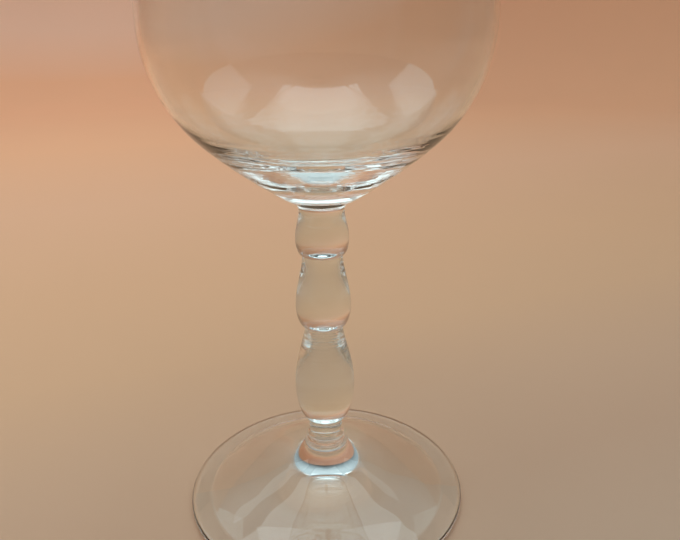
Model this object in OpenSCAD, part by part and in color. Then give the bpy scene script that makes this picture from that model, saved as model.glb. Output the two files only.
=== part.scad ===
// Stemmed champagne glass in clear glass: a round bowl with a heavy base, a short
// collar, three beads of growing length, a ringed neck and a domed foot.
// Each piece is a gather of hot glass that is fused to the next one on a flat face.
// Millimetres. The glass stands on z = 0 and its axis is Z.

/* [Foot] */
// Outside diameter of the foot
foot_d = 70; // [66:0.5:76]
// Height of the foot, up to the flat face that the neck stands on
foot_h = 14.6; // [13.5:0.1:15.5]
// Thickness of the foot at its rounded edge
foot_edge_t = 2; // [1.6:0.1:3]
// Slope of the foot's upper face at its edge, in degrees
foot_edge_slope = 12; // [9:0.5:14]
// Slope of the foot's upper face where it meets the hollow curve, in degrees
foot_top_slope = 24; // [22:1:30]
// Radius of the hollow curve that rises from the foot's upper face to its crown
foot_cove_r = 12; // [8:0.5:14]
// Diameter of the crown, the flat top of the foot
crown_d = 11; // [10.4:0.1:12]
// Width of the flat ring that the foot stands on
bearing_w = 4.4; // [2:0.1:6]
// Height of the hollow under the foot
kick_h = 5; // [1:0.1:6]

/* [Neck] */
// Height of the ringed neck between the foot and the lowest bead
neck_h = 7.3; // [5:0.1:9]
// Diameter of the lower of the two fine rings
ring_low_d = 9.4; // [9:0.1:10]
// Diameter of the upper of the two fine rings
ring_high_d = 9.4; // [9:0.1:10]
// Diameter of the groove between the two rings
ring_groove_d = 8.4; // [8:0.1:8.9]
// Diameter of the narrowest place, just above the rings
waist_d = 7.9; // [6.5:0.1:8]
// Diameter of the small swelling above the waist
neck_swell_d = 8.2; // [8.1:0.1:9.5]

/* [Stem beads] */
// Height of the lower bead, the long pear
lower_bead_h = 25.5; // [20:0.1:34]
// Largest diameter of the lower bead
lower_bead_d = 14.6; // [12:0.1:18]
// Height of the middle bead, the short pear
middle_bead_h = 18.1; // [12:0.1:24]
// Largest diameter of the middle bead
middle_bead_d = 13.2; // [11:0.1:17]
// Height of the upper bead, the round one
upper_bead_h = 10.3; // [8:0.1:15]
// Largest diameter of the upper bead
upper_bead_d = 12.4; // [11:0.1:16]
// Diameter of the crease between the neck and the lower bead
crease_low_d = 8; // [7:0.1:9]
// Diameter of the crease between the lower and the middle bead
crease_mid_d = 9; // [7:0.1:10]
// Diameter of the crease between the middle and the upper bead
crease_high_d = 9.4; // [7:0.1:10.5]

/* [Collar] */
// Height of the collar under the bowl
collar_h = 2.1; // [1.5:0.1:4]
// Diameter of the collar where it meets the upper bead
collar_low_d = 10.4; // [9:0.1:11]

/* [Bowl] */
// Largest outside diameter of the bowl
bowl_d = 72.4; // [68:0.2:80]
// Height of the bowl above the collar
bowl_h = 99; // [80:1:110]
// Outside diameter of the rim
rim_d = 56; // [50:0.5:64]
// Thickness of the bowl's wall
wall_t = 1.05; // [0.9:0.05:1.6]
// Outside radius of the belly's curve
belly_r = 33; // [31:0.5:34]
// Outside radius of the underside's flatter curve
underside_r = 112; // [80:2:200]
// Angle from the widest place, where the belly's curve turns into the underside's
belly_turn = 48; // [44:1:50]
// Inside radius of the curve where the wall thickens into the base
heel_r = 26; // [24:0.5:28]
// Angle below the widest place where the wall begins to thicken
heel_start = 32; // [25:1:38]
// Angle below the widest place where the inside floor begins
heel_end = 65; // [60:1:70]
// Radius of the shoulder's curve above the widest place
shoulder_r = 110; // [90:5:200]
// Angle that the shoulder's curve turns through
shoulder_turn = 6; // [3:0.5:8]

/* [Hidden] */
$fn = 96;

// Steps in a long curve and in a short one.
long_steps = 20;
short_steps = 8;

// Foot: the edge is a half round. The upper face is one long arc that steepens from
// the edge's slope to the top slope, and the hollow curve carries on from there to the
// crown. The upper face's radius is the one that makes the hollow curve end on the
// crown's edge, which leaves a quadratic to solve.
foot_r = foot_d / 2;
edge_r = foot_edge_t / 2;
crown_r = crown_d / 2;
crown_edge_r = 0.2;
crown_under = 0.1;
edge_c = [foot_r - edge_r, edge_r];
edge_way = [sin(foot_edge_slope), cos(foot_edge_slope)];
top_way = [sin(foot_top_slope), cos(foot_top_slope)];
face_p = edge_c + edge_r * edge_way;
cove_p = [crown_r, foot_h - crown_edge_r - crown_under];
way = edge_way - top_way;
gap = face_p + foot_cove_r * top_way - cove_p;
face_r = (-gap * way - sqrt(pow(gap * way, 2) - way * way * (gap * gap - pow(foot_cove_r, 2))))
       / (way * way);
face_c = face_p + face_r * edge_way;
cove_c = face_c - (face_r - foot_cove_r) * top_way;
cove_end = atan2(cove_c[0] - cove_p[0], cove_c[1] - cove_p[1]);
kick_r = foot_r - edge_r - bearing_w;
kick_sphere_r = (kick_r * kick_r + kick_h * kick_h) / (2 * kick_h);

// Heights of the flat faces where the pieces are fused, from the foot up.
neck_z = foot_h;
lower_z = neck_z + neck_h;
middle_z = lower_z + lower_bead_h;
upper_z = middle_z + middle_bead_h;
collar_z = upper_z + upper_bead_h;
bowl_z = collar_z + collar_h;
rim_z = bowl_z + bowl_h;

// Share of a bead's height that lies below its widest place.
lower_bead_widest = 0.375;
middle_bead_widest = 0.279;
upper_bead_widest = 0.378;

// How full each bead is below its widest place, and how hollow it is above.
lower_bead_full = 1.95;
middle_bead_full = 1.86;
upper_bead_full = 2.16;
lower_bead_hollow = 1.35;
middle_bead_hollow = 1.78;
upper_bead_hollow = 1.5;

// Neck: heights of the rings, groove, waist and swelling as shares of its height, and
// its width on the foot's crown.
ring_low_at = 0.143;
ring_groove_at = 0.21;
ring_high_at = 0.293;
waist_at = 0.463;
neck_swell_at = 0.718;
neck_low_d = 8.8;

// How full the rings are, as rounded beads, and the swelling, which is sharper.
ring_full = 2;
swelling_full = 1.2;

// Bowl: centre of the belly's curve, and the tangent curves that leave it.
bowl_r = bowl_d / 2;
underside_gap = underside_r - belly_r;
belly_c_r = bowl_r - belly_r;
underside_c_r = belly_c_r - underside_gap * cos(belly_turn);
collar_top_r = 6.4;
underside_end = acos((collar_top_r - underside_c_r) / underside_r);
belly_c_z = bowl_z + underside_r * sin(underside_end) - underside_gap * sin(belly_turn);
belly_c = [belly_c_r, belly_c_z];
underside_c = belly_c + underside_gap * [-cos(belly_turn), sin(belly_turn)];
belly_in_r = belly_r - wall_t;
heel_c = belly_c + (belly_in_r - heel_r) * [cos(heel_start), -sin(heel_start)];
floor_r = (heel_c[0] + heel_r * cos(heel_end)) / cos(heel_end);
floor_c = [0, heel_c[1] + (floor_r - heel_r) * sin(heel_end)];

// Upper wall: the shoulder leans in, and one more arc runs from it to the lip.
lip_r = wall_t / 2;
shoulder_c = [bowl_r - shoulder_r, belly_c_z];
shoulder_p = shoulder_c + shoulder_r * [cos(shoulder_turn), sin(shoulder_turn)];
wall_chord = shoulder_p - [rim_d / 2, rim_z - lip_r];
wall_half_turn = atan(wall_chord[0] / -wall_chord[1]) - shoulder_turn;
wall_r = norm(wall_chord) / (2 * sin(wall_half_turn));
wall_c = shoulder_p - wall_r * [cos(shoulder_turn), sin(shoulder_turn)];
lip_turn = shoulder_turn + 2 * wall_half_turn;
lip_c = wall_c + (wall_r - lip_r) * [cos(lip_turn), sin(lip_turn)];

// Points on an arc round c, from angle a to angle b in degrees.
function arc(c, r, a, b, steps) =
    [for (i = [0:steps]) let (t = a + (b - a) * i / steps) c + r * [cos(t), sin(t)]];

// Points of a swelling from (r0, z0) out to its widest place (rw, zw) and back to
// (r1, z1). Below, it is a quarter of a superellipse of exponent full, where 2 is a
// plain ellipse. Above, it is a cosine of power hollow, and a higher one is more hollow.
function swell(r0, z0, rw, zw, r1, z1, full, hollow, steps) = concat(
    [for (i = [0:steps]) let (t = 1 - cos(90 * i / steps))
        [r0 + (rw - r0) * pow(1 - pow(1 - t, full), 1 / full), z0 + (zw - z0) * t]],
    [for (i = [1:steps]) let (t = i / steps)
        [r1 + (rw - r1) * pow(cos(90 * t), hollow), zw + (z1 - zw) * t]]);

// Solid of revolution between two flat faces, with the given side.
module turned(side, z0, z1)
    rotate_extrude() polygon(concat([[0, z0]], side, [[0, z1]]));

// One bead of the stem, from crease to crease.
module bead(z0, h, d0, d, d1, widest, full, hollow)
    turned(swell(d0 / 2, z0, d / 2, z0 + h * widest, d1 / 2, z0 + h,
                 full, hollow, long_steps), z0, z0 + h);

module foot() color([0.86, 0.93, 0.90, 0.5])
    rotate_extrude() polygon(concat(
        arc([0, kick_h - kick_sphere_r], kick_sphere_r, 90,
            90 - asin(kick_r / kick_sphere_r), short_steps),
        arc(edge_c, edge_r, -90, 90 - foot_edge_slope, long_steps),
        arc(face_c, face_r, 270 - foot_edge_slope, 270 - foot_top_slope, short_steps),
        arc(cove_c, foot_cove_r, 270 - foot_top_slope, 270 - cove_end, long_steps),
        arc([crown_r - crown_edge_r, foot_h - crown_edge_r], crown_edge_r, 0, 90, short_steps),
        [[0, foot_h]]));

module stem_neck() color([0.82, 0.91, 0.88, 0.5]) {
    groove_z = neck_z + neck_h * ring_groove_at;
    waist_z = neck_z + neck_h * waist_at;
    turned(concat(
        swell(neck_low_d / 2, neck_z, ring_low_d / 2, neck_z + neck_h * ring_low_at,
              ring_groove_d / 2, groove_z, ring_full, 1, short_steps),
        swell(ring_groove_d / 2, groove_z, ring_high_d / 2, neck_z + neck_h * ring_high_at,
              waist_d / 2, waist_z, ring_full, 1, short_steps),
        swell(waist_d / 2, waist_z, neck_swell_d / 2, neck_z + neck_h * neck_swell_at,
              crease_low_d / 2, lower_z, swelling_full, 1, short_steps)), neck_z, lower_z);
}

module lower_bead() color([0.84, 0.92, 0.89, 0.5])
    bead(lower_z, lower_bead_h, crease_low_d, lower_bead_d, crease_mid_d,
         lower_bead_widest, lower_bead_full, lower_bead_hollow);

module middle_bead() color([0.82, 0.91, 0.88, 0.5])
    bead(middle_z, middle_bead_h, crease_mid_d, middle_bead_d, crease_high_d,
         middle_bead_widest, middle_bead_full, middle_bead_hollow);

module upper_bead() color([0.84, 0.92, 0.89, 0.5])
    bead(upper_z, upper_bead_h, crease_high_d, upper_bead_d, collar_low_d,
         upper_bead_widest, upper_bead_full, upper_bead_hollow);

// The collar's side is a quarter of a hollow curve, upright below and flat above.
module bowl_collar() color([0.86, 0.93, 0.90, 0.5])
    turned([for (i = [0:short_steps]) let (t = 90 * i / short_steps)
        [collar_low_d / 2 + (collar_top_r - collar_low_d / 2) * (1 - cos(t)),
         collar_z + collar_h * sin(t)]], collar_z, bowl_z);

module bowl() color([0.88, 0.94, 0.92, 0.4])
    rotate_extrude() polygon(concat(
        [[0, bowl_z]],
        arc(underside_c, underside_r, -underside_end, -belly_turn, short_steps),
        arc(belly_c, belly_r, -belly_turn, 0, long_steps),
        arc(shoulder_c, shoulder_r, 0, shoulder_turn, short_steps),
        arc(wall_c, wall_r, shoulder_turn, lip_turn, short_steps),
        arc(lip_c, lip_r, lip_turn, lip_turn + 180, short_steps),
        arc(wall_c, wall_r - wall_t, lip_turn, shoulder_turn, short_steps),
        arc(shoulder_c, shoulder_r - wall_t, shoulder_turn, 0, short_steps),
        arc(belly_c, belly_in_r, 0, -heel_start, short_steps),
        arc(heel_c, heel_r, -heel_start, -heel_end, long_steps),
        arc(floor_c, floor_r, -heel_end, -90, short_steps)));

bowl();
bowl_collar();
upper_bead();
middle_bead();
lower_bead();
stem_neck();
foot();
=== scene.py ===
"""Stemmed champagne glass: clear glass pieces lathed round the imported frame, on a pale sweep."""
from math import acos, asin, atan, atan2, cos, hypot, pi, radians, sin

import bpy
import numpy as np
from mathutils import Matrix, Vector


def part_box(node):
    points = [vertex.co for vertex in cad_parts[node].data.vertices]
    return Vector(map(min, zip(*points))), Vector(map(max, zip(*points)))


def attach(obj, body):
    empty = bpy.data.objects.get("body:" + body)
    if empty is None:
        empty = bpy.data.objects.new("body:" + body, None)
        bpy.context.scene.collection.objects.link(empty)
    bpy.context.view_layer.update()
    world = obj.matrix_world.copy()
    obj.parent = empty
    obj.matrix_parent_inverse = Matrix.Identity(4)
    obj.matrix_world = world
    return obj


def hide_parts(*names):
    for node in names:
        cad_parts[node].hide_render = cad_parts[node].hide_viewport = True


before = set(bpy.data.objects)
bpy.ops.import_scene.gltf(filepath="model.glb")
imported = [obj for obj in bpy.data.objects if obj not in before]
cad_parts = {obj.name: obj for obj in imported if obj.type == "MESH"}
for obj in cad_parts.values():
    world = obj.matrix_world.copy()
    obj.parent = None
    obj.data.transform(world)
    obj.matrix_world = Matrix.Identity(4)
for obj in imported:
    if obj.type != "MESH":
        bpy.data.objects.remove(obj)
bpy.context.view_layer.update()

MM = 0.001
AROUND = 256            # faces round a piece
IOR = 1.52              # of clear soda-lime glass

# Shapes of the pieces in millimetres and degrees, as in the CAD source. The heights and
# the outside widths are read from the frame.
FOOT_EDGE_R = 1.0
FOOT_EDGE_SLOPE = 12
FOOT_TOP_SLOPE = 24
FOOT_COVE_R = 12
CROWN_R = 5.5
CROWN_EDGE_R = 0.2
CROWN_UNDER = 0.1
FOOT_BEARING = 4.4
KICK_H = 5
NECK_LOW_R = 4.4
RING_LOW_R = 4.7
GROOVE_R = 4.2
RING_HIGH_R = 4.7
WAIST_R = 3.95
SWELL_R = 4.1
RING_LOW_AT, GROOVE_AT, RING_HIGH_AT, WAIST_AT, SWELL_AT = 0.143, 0.21, 0.293, 0.463, 0.718
CREASE_LOW_R = 4
LOWER_AT, LOWER_FULL, LOWER_HOLLOW = 0.375, 1.95, 1.35
CREASE_MID_R = 4.5
MIDDLE_AT, MIDDLE_FULL, MIDDLE_HOLLOW = 0.279, 1.86, 1.78
CREASE_HIGH_R = 4.7
UPPER_AT, UPPER_FULL, UPPER_HOLLOW = 0.378, 2.16, 1.5
COLLAR_LOW_R = 5.2
COLLAR_TOP_R = 6.4
WALL = 1.05
RIM_R = 28
HEEL_R = 26
HEEL_START = 32
HEEL_END = 65
UNDER_R = 112
BELLY_R = 33
BELLY_TURN = 48
SHOULDER_R = 110
SHOULDER_TURN = 6

# Unevenness of hand-made glass, in millimetres: how deep it is, where it fades, and for the
# rings of the bowl's base their strength, pitch, sway, lobes round the bowl and phase.
BASE_RIPPLE = 0.007
BASE_RINGS = ((1, 2.3, 1.3, 1, 0.6), (0.8, 1.45, 1.1, 2, 2.1), (0.5, 3.9, 0.7, 1, 4))
BASE_RINGS_H = (21, 14)
BASE_RINGS_R = (6.6, 9)
BEAD_RIPPLE = 0.008
BEAD_RIPPLES_LOW, BEAD_RIPPLES_HIGH = (0.60, 0.72), (0.985, 0.93)
BEAD_PITS = ((-1.62, 0.51, 0.34, 0.10), (-1.47, 0.31, 0.30, 0.09))
FOOT_WAVE = 0.02
FOOT_WAVES_Z, FOOT_WAVES_R = (2.2, 4.5), (7.5, 12)

# The glass: the tint of light that has passed it, and the roughness of the faint film that
# wiping leaves.
STEM_TINT = (0.90, 0.945, 0.93)
BOWL_TINT = (0.96, 0.982, 0.976)
SMEAR = 0.02

# The paper: its colour by depth in metres along PAPER_WAY, from the front (negative) to the back, with
# painted shade: darker far in front and lighter towards the back and the left, with a paler, greyer
# band in front. Its painted shade across x darkens it from left to right, and again past both sides.
PAPER_DEPTH = (-0.8, 1.2)
PAPER_WAY = (-0.4, 1, 0)
# Peach paper colour with painted shade: dark far in front, brightest at the back.
PAPER_WITH_PAINTED_SHADE = [(-0.75, (0.42, 0.29, 0.22)), (-0.4, (0.50, 0.35, 0.27)), (-0.24, (0.60, 0.47, 0.40)),
         (-0.12, (0.62, 0.48, 0.40)), (-0.065, (0.53, 0.34, 0.24)), (-0.01, (0.56, 0.33, 0.22)),
         (0.03, (0.61, 0.355, 0.23)), (0.09, (0.69, 0.385, 0.23)), (0.17, (0.74, 0.40, 0.235)),
         (0.34, (0.81, 0.425, 0.26)), (0.56, (0.88, 0.435, 0.25)), (0.95, (0.90, 0.43, 0.25)),
         (1.06, (0.90, 0.51, 0.36))]
PAPER_ACROSS, PAPER_ACROSS_PAINTED_SHADE = (-0.3, 0.3), (1.03, 0.86)
PAPER_SIDE, PAPER_SIDE_PAINTED_SHADE = (0.6, 0.85), (1, 0.7)
PAPER_CLOUDS = (0.97, 1.03)

# The room: radiance and colour of the light, and the heights between which it brightens. A
# height is the z of the direction, raised towards the sides and the back.
SKY = 0.75
SKY_DARK, SKY_LIGHT = (0.02, 0.02, 0.02), (0.74, 0.95, 1)
SKY_FROM, SKY_TO = 0.66, 0.86
SKY_SIDES, SKY_BACK = 0.22, 0.14

# The softboxes: radiance, place and size in metres.
LAMP_COLOUR = (0.78, 0.96, 1.0)
OVERHEAD, OVERHEAD_Z, OVERHEAD_SIZE = 1.6, 1.25, (1.2, 1.4)
SIDE_LEFT, SIDE_RIGHT, SIDE_SIZE = 1.1, 0.8, (1.1, 0.7)
SIDE_X, SIDE_Y, SIDE_Z = 1.05, 0.3, 0.87


# ---------------------------------------------------------------- profiles

def arc(centre, radius, start, end, steps):
    """Points (r, z) on an arc round centre, from angle start to angle end in degrees."""
    turn = np.radians(np.linspace(start, end, steps + 1))
    return np.stack([centre[0] + radius * np.cos(turn), centre[1] + radius * np.sin(turn)], 1)


def swell(start, widest, end, full, hollow, steps):
    """Points of a swelling side: out from start (r, z) to widest as a quarter of a
    superellipse of exponent full, and back in to end as a cosine of power hollow."""
    turn = np.linspace(0, pi / 2, steps + 1)
    t = 1 - np.cos(turn)
    out = np.stack([start[0] + (widest[0] - start[0]) * (1 - (1 - t) ** full) ** (1 / full),
                    start[1] + (widest[1] - start[1]) * t], 1)
    falling = np.maximum(np.cos(turn), 0) ** hollow
    back = np.stack([end[0] + (widest[0] - end[0]) * falling,
                     widest[1] + (end[1] - widest[1]) * turn / turn[-1]], 1)
    return np.concatenate([out, back[1:]])


def even(points, gap):
    """The same side with its points spread evenly, about gap apart."""
    steps = np.hypot(*np.diff(points, axis=0).T)
    along = np.concatenate([[0], np.cumsum(steps)])
    keep = np.concatenate([[True], steps > 1e-9])
    spread = np.linspace(0, along[-1], max(2, int(along[-1] / gap)) + 1)
    return np.stack([np.interp(spread, along[keep], points[keep, i]) for i in (0, 1)], 1)


def height_of(node):
    """Lowest and highest z of a CAD node, in millimetres."""
    low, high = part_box(node)
    return low.z / MM, high.z / MM


def widest_of(node):
    """Largest radius of a CAD node, in millimetres."""
    low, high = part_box(node)
    return (high.x - low.x) / 2 / MM


# ---------------------------------------------------------------- meshes

def lathe(name, side, low_joint, high_joint, deform=None):
    """A closed piece turned about Z from its side, a list of (r, z) from bottom to top in
    millimetres. low_joint and high_joint are the radii of the flat faces that are fused to the
    neighbours, or 0. The faces inside them take the second material slot."""
    rows = [tuple(p) for p in side]
    joint_low, joint_high = low_joint > 0, high_joint > 0
    if joint_low and rows[0][0] - low_joint > 1e-3:
        rows.insert(0, (low_joint, rows[0][1]))
    if joint_high and rows[-1][0] - high_joint > 1e-3:
        rows.append((high_joint, rows[-1][1]))
    rows = np.array(rows)
    turn = np.linspace(0, 2 * pi, AROUND, endpoint=False)
    r = np.repeat(rows[:, :1], AROUND, 1)
    z = np.repeat(rows[:, 1:], AROUND, 1)
    a = np.repeat(turn[None, :], len(rows), 0)
    if deform is not None:
        r, z = deform(r, z, a)
    ring = np.stack([r * np.cos(a), r * np.sin(a), z], 2).reshape(-1, 3)
    ends = np.array([[0, 0, z[0].mean()], [0, 0, z[-1].mean()]])      # the two end faces' centres
    verts = np.concatenate([ring, ends]) * MM
    i = np.arange(AROUND)
    j = (i + 1) % AROUND
    faces = []
    for row in range(len(rows) - 1):
        b = row * AROUND
        faces += np.stack([b + i, b + j, b + AROUND + j, b + AROUND + i], 1).tolist()
    top = (len(rows) - 1) * AROUND
    bottom_centre, top_centre = len(ring), len(ring) + 1
    sides = len(faces)
    faces += np.stack([j, i, np.full(AROUND, bottom_centre)], 1).tolist()
    faces += np.stack([top + i, top + j, np.full(AROUND, top_centre)], 1).tolist()
    mesh = bpy.data.meshes.new(name)
    mesh.from_pydata(verts.tolist(), [], faces)
    smooth = np.ones(len(faces), bool)
    slots = np.zeros(len(faces), np.int32)
    if joint_low:
        slots[sides:sides + AROUND] = 1
        smooth[sides:sides + AROUND] = False
    if joint_high:
        slots[sides + AROUND:] = 1
        smooth[sides + AROUND:] = False
    mesh.polygons.foreach_set("use_smooth", smooth)
    mesh.polygons.foreach_set("material_index", slots)
    mesh.update()
    sharp = np.zeros(len(mesh.edges), bool)
    pairs = np.zeros(len(mesh.edges) * 2, np.int32)
    mesh.edges.foreach_get("vertices", pairs)
    pairs = pairs.reshape(-1, 2)
    if joint_low:
        sharp |= (pairs < AROUND).all(1)
    if joint_high:
        sharp |= ((pairs >= top) & (pairs < top + AROUND)).all(1)
    attribute = mesh.attributes.new("sharp_edge", "BOOLEAN", "EDGE")
    attribute.data.foreach_set("value", sharp)
    obj = bpy.data.objects.new(name, mesh)
    bpy.context.scene.collection.objects.link(obj)
    return obj


def add_piece(name, node, side, low_joint, high_joint, glass, deform=None):
    """One visual piece that stands for its CAD node."""
    piece = lathe(name, side, low_joint, high_joint, deform)
    piece.data.materials.append(glass)
    piece.data.materials.append(joint_material())
    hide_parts(node)
    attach(piece, "root")
    return piece


def fade(x, start, end):
    """0 at start, 1 at end, and smooth between; start may be above end."""
    t = np.clip((x - start) / (end - start), 0, 1)
    return t * t * (3 - 2 * t)


def push_out(r, z, depth):
    """Move a lathed surface along its own normal by depth, in millimetres."""
    dr, dz = np.gradient(r, axis=0), np.gradient(z, axis=0)
    size = np.maximum(np.hypot(dr, dz), 1e-9)
    return r + depth * dz / size, z - depth * dr / size


def along(r, z):
    """Distance along a lathed surface from its first row, in millimetres."""
    dr, dz = np.diff(r, axis=0, prepend=r[:1]), np.diff(z, axis=0, prepend=z[:1])
    return np.cumsum(np.hypot(dr, dz), axis=0)


def base_ripples(r, z, a):
    """The bowl's thick base: fine rings that the tools left, none at the collar."""
    s = along(r, z)
    rings = np.zeros_like(s)
    for strength, pitch, sway, lobes, phase in BASE_RINGS:
        rings += strength * np.sin(2 * pi * s / pitch + sway * np.sin(lobes * a + phase))
    where = fade(z - z.min(), *BASE_RINGS_H) * fade(r, *BASE_RINGS_R)
    return push_out(r, z, BASE_RIPPLE * rings * where)


def bead_ripples(r, z, a):
    """The lower bead: short ripples under its upper crease, strongest in four places round
    it, and two shallow pits in front, where seeds in the glass broke out."""
    low, high = z.min(), z.max()
    share = (z - low) / (high - low)
    where = fade(share, *BEAD_RIPPLES_LOW) * fade(share, *BEAD_RIPPLES_HIGH)
    lean = 0.45 + 0.55 * np.cos(2 * (a + pi / 2) + 0.2) ** 2
    depth = BEAD_RIPPLE * lean * where * (np.sin(2 * pi * z / 0.95 + 0.8 * np.sin(3 * a))
                                          + 0.6 * np.sin(2 * pi * z / 1.5 + 1.7 * np.sin(2 * a + 1)))
    for turn, height, size, deep in BEAD_PITS:
        gap = np.hypot((a - turn % (2 * pi)) * r, (share - height) * (high - low))
        depth = depth - deep * np.exp(-(gap / size) ** 2)
    return push_out(r, z, depth)


def foot_waves(r, z, a):
    """The foot: the slow unevenness of pressed glass, none at the flat ring or the crown."""
    top = fade(z, *FOOT_WAVES_Z) * fade(r, *FOOT_WAVES_R)
    wave = (np.sin(2 * pi * r / 11 + 1.2 * np.sin(2 * a + 0.5)) + 0.7 * np.sin(3 * a + r / 6)
            + 0.5 * np.sin(5 * a - r / 4 + 1))
    return push_out(r, z, FOOT_WAVE * wave * top)


# ---------------------------------------------------------------- materials

def new_material(name):
    """An empty material, with its node tree and its output."""
    material = bpy.data.materials.new(name)
    material.use_nodes = True
    tree = material.node_tree
    tree.nodes.clear()
    out = tree.nodes.new("ShaderNodeOutputMaterial")
    return material, tree, out


def map_range(tree, value, span, result, smooth=False):
    """The output of a node that maps value from the span (low, high) to the result (low, high)."""
    node = tree.nodes.new("ShaderNodeMapRange")
    if smooth:
        node.interpolation_type = "SMOOTHSTEP"
    for name, number in zip(("From Min", "From Max", "To Min", "To Max"), (*span, *result)):
        node.inputs[name].default_value = number
    tree.links.new(value, node.inputs["Value"])
    return node.outputs["Result"]


def calculate(tree, operation, first, second=None):
    """The output of a math node."""
    node = tree.nodes.new("ShaderNodeMath")
    node.operation = operation
    tree.links.new(first, node.inputs[0])
    if second is not None:
        tree.links.new(second, node.inputs[1])
    return node.outputs["Value"]


def dot(tree, vector, way):
    """The output of a node that multiplies vector by the fixed direction way."""
    node = tree.nodes.new("ShaderNodeVectorMath")
    node.operation = "DOT_PRODUCT"
    node.inputs[1].default_value = way
    tree.links.new(vector, node.inputs[0])
    return node.outputs["Value"]


def noise(tree, vector, scale, detail):
    """The output of a noise node, from 0 to 1."""
    node = tree.nodes.new("ShaderNodeTexNoise")
    node.inputs["Scale"].default_value = scale
    node.inputs["Detail"].default_value = detail
    tree.links.new(vector, node.inputs["Vector"])
    return node.outputs["Fac"]


def joint_material():
    """The fused face between two pieces: one glass runs into the next, so nothing shows."""
    old = bpy.data.materials.get("fused_joint")
    if old:
        return old
    material, tree, out = new_material("fused_joint")
    shader = tree.nodes.new("ShaderNodeBsdfPrincipled")
    shader.inputs["Alpha"].default_value = 0
    tree.links.new(shader.outputs["BSDF"], out.inputs["Surface"])
    return material


def glass_material(name, tint, wave_size, wave_depth):
    """Clear glass. wave_size is the size in metres of the surface's slow waves, and wave_depth
    their depth in metres."""
    material, tree, out = new_material(name)
    node = tree.nodes.new
    link = tree.links.new
    shader = node("ShaderNodeBsdfPrincipled")
    shader.inputs["Base Color"].default_value = (*tint, 1)
    shader.inputs["Transmission Weight"].default_value = 1
    shader.inputs["IOR"].default_value = IOR
    place = node("ShaderNodeTexCoord").outputs["Object"]
    bump = node("ShaderNodeBump")
    bump.inputs["Strength"].default_value = 1
    bump.inputs["Distance"].default_value = wave_depth
    link(noise(tree, place, 1 / wave_size, 1.5), bump.inputs["Height"])
    link(bump.outputs["Normal"], shader.inputs["Normal"])
    film = map_range(tree, noise(tree, place, 90, 4), (0.5, 0.8), (0, SMEAR))
    link(film, shader.inputs["Roughness"])
    link(shader.outputs["BSDF"], out.inputs["Surface"])
    return material


def painted_shade_paper_material():
    """Peach studio paper with painted shade: painted warmer and brighter towards the back, painted a
    little darker on the right and at both sides, and darker and greyer in front, with painted shade at
    the far front."""
    material, tree, out = new_material("studio_paper_painted_shade")
    node = tree.nodes.new
    link = tree.links.new
    shader = node("ShaderNodeBsdfPrincipled")
    shader.inputs["Roughness"].default_value = 0.9
    shader.inputs["Specular IOR Level"].default_value = 0.2
    place = node("ShaderNodeTexCoord").outputs["Object"]
    split = node("ShaderNodeSeparateXYZ")
    link(place, split.inputs["Vector"])
    x = split.outputs["X"]
    ramp = node("ShaderNodeValToRGB")
    stops = ramp.color_ramp.elements
    front, back = PAPER_DEPTH
    for k, (depth, colour) in enumerate(PAPER_WITH_PAINTED_SHADE):
        stop = stops[k] if k < 2 else stops.new(1)
        stop.position = (depth - front) / (back - front)
        stop.color = (*colour, 1)
    # Painted shade: darker far in front, on the right and past both sides, and lighter towards the
    # back.
    link(map_range(tree, dot(tree, place, PAPER_WAY), PAPER_DEPTH, (0, 1)), ramp.inputs["Fac"])
    across = map_range(tree, x, PAPER_ACROSS, PAPER_ACROSS_PAINTED_SHADE, smooth=True)
    side = map_range(tree, calculate(tree, "ABSOLUTE", x), PAPER_SIDE, PAPER_SIDE_PAINTED_SHADE, smooth=True)
    clouds = map_range(tree, noise(tree, place, 5, 3), (0, 1), PAPER_CLOUDS)
    painted_shade = calculate(tree, "MULTIPLY", calculate(tree, "MULTIPLY", across, clouds), side)
    tint = node("ShaderNodeVectorMath")
    tint.operation = "SCALE"
    link(ramp.outputs["Color"], tint.inputs[0])
    link(painted_shade, tint.inputs["Scale"])
    link(tint.outputs["Vector"], shader.inputs["Base Color"])
    link(shader.outputs["BSDF"], out.inputs["Surface"])
    return material


# ---------------------------------------------------------------- pieces

def bead(node, low_r, high_r, widest, full, hollow, glass, deform=None):
    """A stem bead between its two creases, of radii low_r and high_r in millimetres."""
    low, high = height_of(node)
    side = swell((low_r, low), (widest_of(node), low + (high - low) * widest), (high_r, high),
                 full, hollow, 400)
    return add_piece("glass_" + node, node, even(side, 0.16), low_r, high_r, glass, deform)


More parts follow.
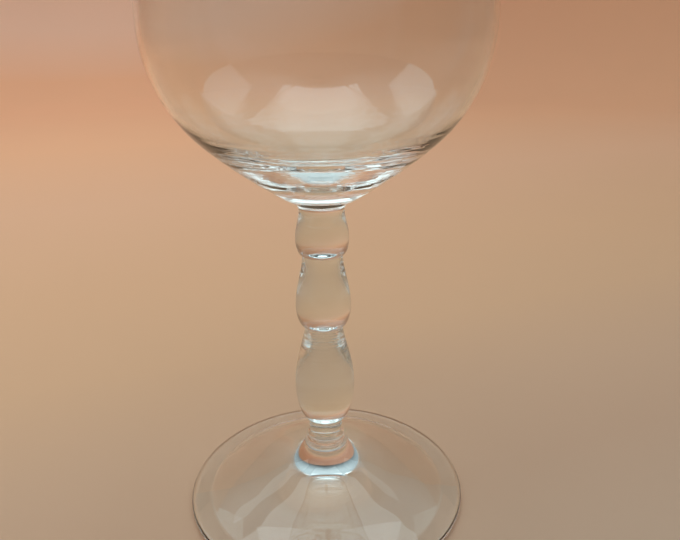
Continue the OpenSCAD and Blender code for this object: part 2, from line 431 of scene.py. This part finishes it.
def make_foot(glass):
    """The domed disc. Its upper face steepens from the rounded edge to the top slope, and the
    hollow curve carries on from there and ends on the edge of the flat crown."""
    low, high = height_of("foot")
    foot_r = widest_of("foot")
    kick_r = foot_r - FOOT_EDGE_R - FOOT_BEARING
    kick_sphere = (kick_r ** 2 + KICK_H ** 2) / (2 * KICK_H)      # the hollow underneath
    rim = asin(kick_r / kick_sphere) * 180 / pi
    edge_c = np.array([foot_r - FOOT_EDGE_R, low + FOOT_EDGE_R])
    edge_way = np.array([sin(radians(FOOT_EDGE_SLOPE)), cos(radians(FOOT_EDGE_SLOPE))])
    top_way = np.array([sin(radians(FOOT_TOP_SLOPE)), cos(radians(FOOT_TOP_SLOPE))])
    face_p = edge_c + FOOT_EDGE_R * edge_way
    cove_p = np.array([CROWN_R, high - CROWN_EDGE_R - CROWN_UNDER])
    way = edge_way - top_way      # face_r puts cove_p at FOOT_COVE_R from the hollow curve's centre
    gap = face_p + FOOT_COVE_R * top_way - cove_p
    root = ((gap @ way) ** 2 - way @ way * (gap @ gap - FOOT_COVE_R ** 2)) ** 0.5
    face_r = (-gap @ way - root) / (way @ way)
    face_c = face_p + face_r * edge_way
    cove_c = face_c - (face_r - FOOT_COVE_R) * top_way
    cove_end = atan2(cove_c[0] - cove_p[0], cove_c[1] - cove_p[1]) * 180 / pi
    side = np.concatenate([
        arc((0, low + KICK_H - kick_sphere), kick_sphere, 90, 90 - rim, 60)[1:],
        arc(edge_c, FOOT_EDGE_R, -90, 90 - FOOT_EDGE_SLOPE, 60),
        arc(face_c, face_r, 270 - FOOT_EDGE_SLOPE, 270 - FOOT_TOP_SLOPE, 80),
        arc(cove_c, FOOT_COVE_R, 270 - FOOT_TOP_SLOPE, 270 - cove_end, 60),
        arc((CROWN_R - CROWN_EDGE_R, high - CROWN_EDGE_R), CROWN_EDGE_R, 0, 90, 24)])
    return add_piece("glass_foot", "foot", even(side, 0.28), 0, NECK_LOW_R, glass, foot_waves)


def make_neck(glass):
    """The short neck: two fine rings with a groove between, a waist and a small swelling."""
    low, high = height_of("stem_neck")
    ring_low, groove, ring_high, waist, swelling = [
        (r, low + (high - low) * share)
        for r, share in ((RING_LOW_R, RING_LOW_AT), (GROOVE_R, GROOVE_AT), (RING_HIGH_R, RING_HIGH_AT),
                         (WAIST_R, WAIST_AT), (SWELL_R, SWELL_AT))]
    side = np.concatenate([
        swell((NECK_LOW_R, low), ring_low, groove, 2, 1, 40),
        swell(groove, ring_high, waist, 2, 1, 40),
        swell(waist, swelling, (CREASE_LOW_R, high), 1.2, 1, 40)])
    return add_piece("glass_stem_neck", "stem_neck", even(side, 0.06), NECK_LOW_R, CREASE_LOW_R, glass)


def make_collar(glass):
    """The collar, which flares out from the upper bead as a quarter of an ellipse."""
    low, high = height_of("bowl_collar")
    turn = np.linspace(0, pi / 2, 30)
    side = np.stack([COLLAR_LOW_R + (COLLAR_TOP_R - COLLAR_LOW_R) * (1 - np.cos(turn)),
                     low + (high - low) * np.sin(turn)], 1)
    return add_piece("glass_bowl_collar", "bowl_collar", even(side, 0.08),
                     COLLAR_LOW_R, COLLAR_TOP_R, glass)


def make_bowl(glass):
    """The blown bowl. Outside it rises over the wide underside, the belly and the shoulder to
    the wall and the rounded lip; inside, the heel and the floor close the thick base."""
    low, high = height_of("bowl")
    bowl_r = widest_of("bowl")
    lip_r = WALL / 2

    def way(degrees):
        return np.array([cos(radians(degrees)), sin(radians(degrees))])

    under_c_r = bowl_r - BELLY_R - (UNDER_R - BELLY_R) * cos(radians(BELLY_TURN))
    under_end = acos((COLLAR_TOP_R - under_c_r) / UNDER_R) * 180 / pi
    belly_c = np.array([bowl_r - BELLY_R, low + UNDER_R * sin(radians(under_end))
                        - (UNDER_R - BELLY_R) * sin(radians(BELLY_TURN))])
    under_c = belly_c - (UNDER_R - BELLY_R) * way(-BELLY_TURN)
    heel_c = belly_c + (BELLY_R - WALL - HEEL_R) * way(-HEEL_START)
    floor_r = heel_c[0] / cos(radians(HEEL_END)) + HEEL_R
    floor_c = np.array([0, heel_c[1] + (floor_r - HEEL_R) * sin(radians(HEEL_END))])
    shoulder_c = np.array([bowl_r - SHOULDER_R, belly_c[1]])
    shoulder_p = shoulder_c + SHOULDER_R * way(SHOULDER_TURN)
    chord = shoulder_p - np.array([RIM_R, high - lip_r])
    half_turn = atan(chord[0] / -chord[1]) * 180 / pi - SHOULDER_TURN
    wall_r = hypot(*chord) / (2 * sin(radians(half_turn)))
    wall_c = shoulder_p - wall_r * way(SHOULDER_TURN)
    lip_turn = SHOULDER_TURN + 2 * half_turn
    lip_c = wall_c + (wall_r - lip_r) * way(lip_turn)
    outside = np.concatenate([
        arc(under_c, UNDER_R, -under_end, -BELLY_TURN, 60),
        arc(belly_c, BELLY_R, -BELLY_TURN, 0, 120),
        arc(shoulder_c, SHOULDER_R, 0, SHOULDER_TURN, 40),
        arc(wall_c, wall_r, SHOULDER_TURN, lip_turn, 60)])
    lip = arc(lip_c, lip_r, lip_turn, lip_turn + 180, 16)
    inside = np.concatenate([
        arc(wall_c, wall_r - WALL, lip_turn, SHOULDER_TURN, 60),
        arc(shoulder_c, SHOULDER_R - WALL, SHOULDER_TURN, 0, 40),
        arc(belly_c, BELLY_R - WALL, 0, -HEEL_START, 60),
        arc(heel_c, HEEL_R, -HEEL_START, -HEEL_END, 60),
        arc(floor_c, floor_r, -HEEL_END, -90, 60)[:-1]])
    outside, inside = even(outside, 0.1), even(inside, 0.1)
    base_top = low + 22       # below this height the base is finely meshed
    fine, coarse = 0.36, 1.8
    split_out, split_in = np.argmax(outside[:, 1] > base_top), np.argmax(inside[:, 1] < base_top)
    side = np.concatenate([even(outside[:split_out], fine), even(outside[split_out:], coarse),
                           lip[1:-1], even(inside[:split_in], coarse), even(inside[split_in:], fine)])
    return add_piece("glass_bowl", "bowl", side, COLLAR_TOP_R, 0, glass, base_ripples)


# ---------------------------------------------------------------- stage

def make_sweep(material):
    """A pale round floor whose edge curves up into a low wall on every side. It lies a hair
    under the foot, so that light leaves the foot's flat ring before it meets the paper."""
    floor_r, curve_r, wall_top = 0.75, 0.35, 0.72
    turn = np.radians(np.linspace(-90, -6, 24))
    side = [(0.0, 0.0)]
    side += [(r, 0.0) for r in np.linspace(0.1, floor_r, 8)]
    side += [(floor_r + curve_r * cos(t), curve_r + curve_r * sin(t)) for t in turn[1:]]
    side.append((side[-1][0] + 0.06, wall_top))
    around = 128
    verts = [(r * cos(2 * pi * k / around), r * sin(2 * pi * k / around), z)
             for r, z in side[1:] for k in range(around)]
    faces = [[(row + 1) * around + k, (row + 1) * around + (k + 1) % around,
              row * around + (k + 1) % around, row * around + k]
             for row in range(len(side) - 2) for k in range(around)]
    faces.append(list(range(around)))
    mesh = bpy.data.meshes.new("studio_sweep")
    mesh.from_pydata(verts, [], faces)
    mesh.polygons.foreach_set("use_smooth", [True] * len(mesh.polygons))
    mesh.materials.append(material)
    sweep = bpy.data.objects.new("studio_sweep", mesh)
    sweep.location.z = -0.0002
    bpy.context.scene.collection.objects.link(sweep)
    return sweep


def add_softbox(name, place, aim, size, radiance):
    """A rectangular soft light at place, in metres, that faces aim. Its brightness is given
    as radiance, so it looks the same in the glass whatever its size."""
    data = bpy.data.lights.new(name, "AREA")
    data.shape = "RECTANGLE"
    data.size, data.size_y = size
    data.energy = radiance * pi * size[0] * size[1]
    data.color = LAMP_COLOUR
    lamp = bpy.data.objects.new(name, data)
    lamp.location = place
    lamp.rotation_euler = (Vector(aim) - Vector(place)).to_track_quat("-Z", "Y").to_euler()
    bpy.context.scene.collection.objects.link(lamp)
    return lamp


def make_world():
    """Soft room light: cool and bright from the ceiling, most of all behind the glass and at
    its sides, and nearly dark towards the horizon."""
    world = bpy.data.worlds.new("room")
    bpy.context.scene.world = world
    world.use_nodes = True
    tree = world.node_tree
    tree.nodes.clear()
    node = tree.nodes.new
    link = tree.links.new
    out = node("ShaderNodeOutputWorld")
    back = node("ShaderNodeBackground")
    way = node("ShaderNodeTexCoord").outputs["Generated"]
    fold = node("ShaderNodeVectorMath")
    fold.operation = "ABSOLUTE"
    link(way, fold.inputs[0])
    height = calculate(tree, "ADD", dot(tree, way, (0, SKY_BACK, 1)),
                       dot(tree, fold.outputs["Vector"], (SKY_SIDES, 0, 0)))
    ramp = node("ShaderNodeValToRGB")
    dark, light = ramp.color_ramp.elements
    dark.position, dark.color = SKY_FROM, (*SKY_DARK, 1)
    light.position, light.color = SKY_TO, (*SKY_LIGHT, 1)
    link(height, ramp.inputs["Fac"])
    link(ramp.outputs["Color"], back.inputs["Color"])
    back.inputs["Strength"].default_value = SKY
    link(back.outputs["Background"], out.inputs["Surface"])


def make_lights():
    """A big softbox overhead and one at each side, aimed at the glass."""
    glass = (0, 0, 0.1)
    add_softbox("overhead", (0, 0, OVERHEAD_Z), (0, 0, 0), OVERHEAD_SIZE, OVERHEAD)
    add_softbox("side_left", (-SIDE_X, SIDE_Y, SIDE_Z), glass, SIDE_SIZE, SIDE_LEFT)
    add_softbox("side_right", (SIDE_X, SIDE_Y, SIDE_Z), glass, SIDE_SIZE, SIDE_RIGHT)


def make_camera():
    """The photograph's viewpoint: close, a little above the bowl's widest place."""
    data = bpy.data.cameras.new("camera")
    data.sensor_width = 36
    data.lens = 36
    camera = bpy.data.objects.new("camera", data)
    bpy.context.scene.collection.objects.link(camera)
    pitch, roll = radians(21.17), radians(0.565)
    side, back, up = 0.00402, 0.1477, 0.1185
    camera.matrix_world = (Matrix.Translation((side, -back, up))
                           @ Matrix.Rotation(pi / 2 - pitch, 4, "X")
                           @ Matrix.Rotation(-roll, 4, "Z"))
    data.clip_start = 0.005
    bpy.context.scene.camera = camera
    return camera


def set_light_paths():
    """Enough bounces for light to cross several walls of glass."""
    cycles = bpy.context.scene.cycles
    cycles.max_bounces = 32
    cycles.transmission_bounces = 24
    cycles.glossy_bounces = 16
    cycles.transparent_max_bounces = 32
    cycles.blur_glossy = 0          # so that light reaches the paper under the foot


stem_glass = glass_material("stem_glass", STEM_TINT, wave_size=0.006, wave_depth=0.00001)
bowl_glass = glass_material("bowl_glass", BOWL_TINT, wave_size=0.02, wave_depth=0.00002)
foot_glass = glass_material("foot_glass", BOWL_TINT, wave_size=0.012, wave_depth=0.00002)

make_foot(foot_glass)
make_neck(stem_glass)
bead("lower_bead", CREASE_LOW_R, CREASE_MID_R, LOWER_AT, LOWER_FULL, LOWER_HOLLOW, stem_glass,
     bead_ripples)
bead("middle_bead", CREASE_MID_R, CREASE_HIGH_R, MIDDLE_AT, MIDDLE_FULL, MIDDLE_HOLLOW, stem_glass)
bead("upper_bead", CREASE_HIGH_R, COLLAR_LOW_R, UPPER_AT, UPPER_FULL, UPPER_HOLLOW, stem_glass)
make_collar(stem_glass)
make_bowl(bowl_glass)

make_sweep(painted_shade_paper_material())
make_world()
make_lights()
make_camera()
set_light_paths()
bpy.context.scene.view_settings.view_transform = "Standard"
